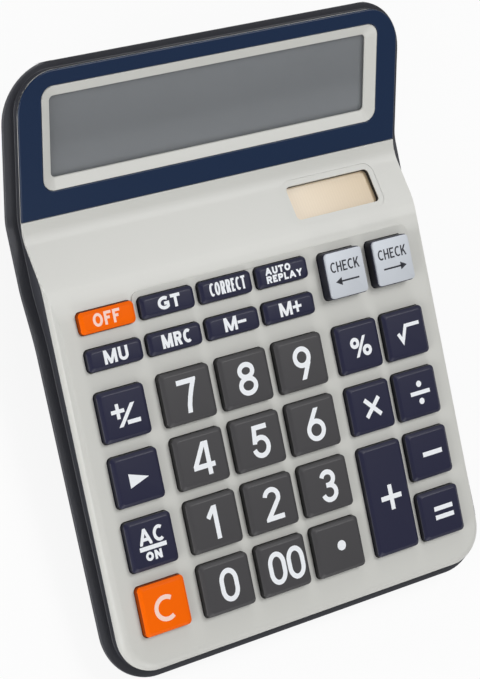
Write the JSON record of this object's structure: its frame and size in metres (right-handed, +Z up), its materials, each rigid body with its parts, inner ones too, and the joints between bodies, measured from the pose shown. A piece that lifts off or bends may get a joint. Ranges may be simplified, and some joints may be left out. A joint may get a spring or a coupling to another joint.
{
  "type": "desk calculator",
  "caption": "Desk calculator with a tilted display head, a solar window and sprung keys that press one by one on a rubber dome sheet.",
  "frame": {"origin": "on the table under the middle of the outline's box, between the four rubber feet", "axes": "+X to the user's right along the key rows, +Y away from the user towards the display, +Z up"},
  "size_m": [0.1498, 0.1894, 0.0431],
  "materials": {
    "shell_plastic": "moulded, satin",
    "case_plastic": "moulded, fine texture",
    "panel_plastic": "dark navy, satin gloss",
    "clear_lens": "clear, polished",
    "display_glass": "grey reflective display",
    "pad_rubber": "soft foam",
    "holder_plastic": "moulded",
    "ribbon_film": "amber film",
    "frame_plastic": "moulded, fine texture",
    "solar_glass": "coated glass, faint vertical stripes",
    "red_insulation": "smooth",
    "board_laminate": "solder mask, satin",
    "chip_resin": "cast resin",
    "part_cases": "moulded",
    "dome_rubber": "moulded, matte",
    "screw_steel": "zinc plated",
    "battery_can": "printed sleeve, plain",
    "contact_steel": "nickel plated",
    "black_insulation": "smooth",
    "foot_rubber": "moulded, matte",
    "key_grey": "moulded, fine texture",
    "key_navy": "moulded, fine texture",
    "key_orange": "moulded, satin gloss",
    "key_silver": "silver coat, fine flake"
  },
  "bodies": {
    "base": {"top_shell": "shell_plastic", "bottom_case": "case_plastic", "display_panel": "panel_plastic", "display_lens": "clear_lens", "lcd_glass": "display_glass", "lcd_pad": "pad_rubber", "lcd_holder": "holder_plastic", "lcd_ribbon": "ribbon_film", "solar_frame": "frame_plastic", "solar_cell": "solar_glass", "solar_leads": "red_insulation", "main_board": "board_laminate", "controller_chip": "chip_resin", "board_parts": "part_cases", "dome_sheet": "dome_rubber", "board_screws": "screw_steel", "display_screws": "screw_steel", "case_screws": "screw_steel", "battery": "battery_can", "battery_contacts": "contact_steel", "battery_leads": "black_insulation", "rubber_feet": "foot_rubber"},
    "cover": {"battery_cover": "case_plastic"},
    "key_0": {"key_0": "key_grey"},
    "key_00": {"key_00": "key_grey"},
    "key_point": {"key_point": "key_grey"},
    "key_1": {"key_1": "key_grey"},
    "key_2": {"key_2": "key_grey"},
    "key_3": {"key_3": "key_grey"},
    "key_4": {"key_4": "key_grey"},
    "key_5": {"key_5": "key_grey"},
    "key_6": {"key_6": "key_grey"},
    "key_7": {"key_7": "key_grey"},
    "key_8": {"key_8": "key_grey"},
    "key_9": {"key_9": "key_grey"},
    "key_ac_on": {"key_ac_on": "key_navy"},
    "key_shift": {"key_shift": "key_navy"},
    "key_sign": {"key_sign": "key_navy"},
    "key_plus": {"key_plus": "key_navy"},
    "key_multiply": {"key_multiply": "key_navy"},
    "key_percent": {"key_percent": "key_navy"},
    "key_equals": {"key_equals": "key_navy"},
    "key_minus": {"key_minus": "key_navy"},
    "key_divide": {"key_divide": "key_navy"},
    "key_root": {"key_root": "key_navy"},
    "key_mu": {"key_mu": "key_navy"},
    "key_mrc": {"key_mrc": "key_navy"},
    "key_m_minus": {"key_m_minus": "key_navy"},
    "key_m_plus": {"key_m_plus": "key_navy"},
    "key_gt": {"key_gt": "key_navy"},
    "key_correct": {"key_correct": "key_navy"},
    "key_replay": {"key_replay": "key_navy"},
    "key_clear": {"key_clear": "key_orange"},
    "key_off": {"key_off": "key_orange"},
    "key_check_back": {"key_check_back": "key_navy", "cap_check_back": "key_silver"},
    "key_check_next": {"key_check_next": "key_navy", "cap_check_next": "key_silver"}
  },
  "joints": [
    {"name": "cover_slide", "type": "slide", "parent": "base", "child": "cover", "axis": [0, 1, 0], "range_m": [0, 0.02]},
    {"name": "press_0", "type": "slide", "parent": "base", "child": "key_0", "axis": [0, 0.1045, -0.9945], "range_m": [0, 0.0013], "stiffness_N_per_m": 500, "deforming": ["dome_sheet"]},
    {"name": "press_00", "type": "slide", "parent": "base", "child": "key_00", "axis": [0, 0.1045, -0.9945], "range_m": [0, 0.0013], "stiffness_N_per_m": 500, "deforming": ["dome_sheet"]},
    {"name": "press_point", "type": "slide", "parent": "base", "child": "key_point", "axis": [0, 0.1045, -0.9945], "range_m": [0, 0.0013], "stiffness_N_per_m": 500, "deforming": ["dome_sheet"]},
    {"name": "press_1", "type": "slide", "parent": "base", "child": "key_1", "axis": [0, 0.1045, -0.9945], "range_m": [0, 0.0013], "stiffness_N_per_m": 500, "deforming": ["dome_sheet"]},
    {"name": "press_2", "type": "slide", "parent": "base", "child": "key_2", "axis": [0, 0.1045, -0.9945], "range_m": [0, 0.0013], "stiffness_N_per_m": 500, "deforming": ["dome_sheet"]},
    {"name": "press_3", "type": "slide", "parent": "base", "child": "key_3", "axis": [0, 0.1045, -0.9945], "range_m": [0, 0.0013], "stiffness_N_per_m": 500, "deforming": ["dome_sheet"]},
    {"name": "press_4", "type": "slide", "parent": "base", "child": "key_4", "axis": [0, 0.1045, -0.9945], "range_m": [0, 0.0013], "stiffness_N_per_m": 500, "deforming": ["dome_sheet"]},
    {"name": "press_5", "type": "slide", "parent": "base", "child": "key_5", "axis": [0, 0.1045, -0.9945], "range_m": [0, 0.0013], "stiffness_N_per_m": 500, "deforming": ["dome_sheet"]},
    {"name": "press_6", "type": "slide", "parent": "base", "child": "key_6", "axis": [0, 0.1045, -0.9945], "range_m": [0, 0.0013], "stiffness_N_per_m": 500, "deforming": ["dome_sheet"]},
    {"name": "press_7", "type": "slide", "parent": "base", "child": "key_7", "axis": [0, 0.1045, -0.9945], "range_m": [0, 0.0013], "stiffness_N_per_m": 500, "deforming": ["dome_sheet"]},
    {"name": "press_8", "type": "slide", "parent": "base", "child": "key_8", "axis": [0, 0.1045, -0.9945], "range_m": [0, 0.0013], "stiffness_N_per_m": 500, "deforming": ["dome_sheet"]},
    {"name": "press_9", "type": "slide", "parent": "base", "child": "key_9", "axis": [0, 0.1045, -0.9945], "range_m": [0, 0.0013], "stiffness_N_per_m": 500, "deforming": ["dome_sheet"]},
    {"name": "press_ac_on", "type": "slide", "parent": "base", "child": "key_ac_on", "axis": [0, 0.1045, -0.9945], "range_m": [0, 0.0013], "stiffness_N_per_m": 500, "deforming": ["dome_sheet"]},
    {"name": "press_shift", "type": "slide", "parent": "base", "child": "key_shift", "axis": [0, 0.1045, -0.9945], "range_m": [0, 0.0013], "stiffness_N_per_m": 500, "deforming": ["dome_sheet"]},
    {"name": "press_sign", "type": "slide", "parent": "base", "child": "key_sign", "axis": [0, 0.1045, -0.9945], "range_m": [0, 0.0013], "stiffness_N_per_m": 500, "deforming": ["dome_sheet"]},
    {"name": "press_plus", "type": "slide", "parent": "base", "child": "key_plus", "axis": [0, 0.1045, -0.9945], "range_m": [0, 0.0013], "stiffness_N_per_m": 500, "deforming": ["dome_sheet"]},
    {"name": "press_multiply", "type": "slide", "parent": "base", "child": "key_multiply", "axis": [0, 0.1045, -0.9945], "range_m": [0, 0.0013], "stiffness_N_per_m": 500, "deforming": ["dome_sheet"]},
    {"name": "press_percent", "type": "slide", "parent": "base", "child": "key_percent", "axis": [0, 0.1045, -0.9945], "range_m": [0, 0.0013], "stiffness_N_per_m": 500, "deforming": ["dome_sheet"]},
    {"name": "press_equals", "type": "slide", "parent": "base", "child": "key_equals", "axis": [0, 0.1045, -0.9945], "range_m": [0, 0.0013], "stiffness_N_per_m": 500, "deforming": ["dome_sheet"]},
    {"name": "press_minus", "type": "slide", "parent": "base", "child": "key_minus", "axis": [0, 0.1045, -0.9945], "range_m": [0, 0.0013], "stiffness_N_per_m": 500, "deforming": ["dome_sheet"]},
    {"name": "press_divide", "type": "slide", "parent": "base", "child": "key_divide", "axis": [0, 0.1045, -0.9945], "range_m": [0, 0.0013], "stiffness_N_per_m": 500, "deforming": ["dome_sheet"]},
    {"name": "press_root", "type": "slide", "parent": "base", "child": "key_root", "axis": [0, 0.1045, -0.9945], "range_m": [0, 0.0013], "stiffness_N_per_m": 500, "deforming": ["dome_sheet"]},
    {"name": "press_mu", "type": "slide", "parent": "base", "child": "key_mu", "axis": [0, 0.1045, -0.9945], "range_m": [0, 0.0013], "stiffness_N_per_m": 500, "deforming": ["dome_sheet"]},
    {"name": "press_mrc", "type": "slide", "parent": "base", "child": "key_mrc", "axis": [0, 0.1045, -0.9945], "range_m": [0, 0.0013], "stiffness_N_per_m": 500, "deforming": ["dome_sheet"]},
    {"name": "press_m_minus", "type": "slide", "parent": "base", "child": "key_m_minus", "axis": [0, 0.1045, -0.9945], "range_m": [0, 0.0013], "stiffness_N_per_m": 500, "deforming": ["dome_sheet"]},
    {"name": "press_m_plus", "type": "slide", "parent": "base", "child": "key_m_plus", "axis": [0, 0.1045, -0.9945], "range_m": [0, 0.0013], "stiffness_N_per_m": 500, "deforming": ["dome_sheet"]},
    {"name": "press_gt", "type": "slide", "parent": "base", "child": "key_gt", "axis": [0, 0.1045, -0.9945], "range_m": [0, 0.0013], "stiffness_N_per_m": 500, "deforming": ["dome_sheet"]},
    {"name": "press_correct", "type": "slide", "parent": "base", "child": "key_correct", "axis": [0, 0.1045, -0.9945], "range_m": [0, 0.0013], "stiffness_N_per_m": 500, "deforming": ["dome_sheet"]},
    {"name": "press_replay", "type": "slide", "parent": "base", "child": "key_replay", "axis": [0, 0.1045, -0.9945], "range_m": [0, 0.0013], "stiffness_N_per_m": 500, "deforming": ["dome_sheet"]},
    {"name": "press_clear", "type": "slide", "parent": "base", "child": "key_clear", "axis": [0, 0.1045, -0.9945], "range_m": [0, 0.0013], "stiffness_N_per_m": 500, "deforming": ["dome_sheet"]},
    {"name": "press_off", "type": "slide", "parent": "base", "child": "key_off", "axis": [0, 0.1045, -0.9945], "range_m": [0, 0.0013], "stiffness_N_per_m": 500, "deforming": ["dome_sheet"]},
    {"name": "press_check_back", "type": "slide", "parent": "base", "child": "key_check_back", "axis": [0, 0.1045, -0.9945], "range_m": [0, 0.0013], "stiffness_N_per_m": 500, "deforming": ["dome_sheet"]},
    {"name": "press_check_next", "type": "slide", "parent": "base", "child": "key_check_next", "axis": [0, 0.1045, -0.9945], "range_m": [0, 0.0013], "stiffness_N_per_m": 500, "deforming": ["dome_sheet"]}
  ]
}
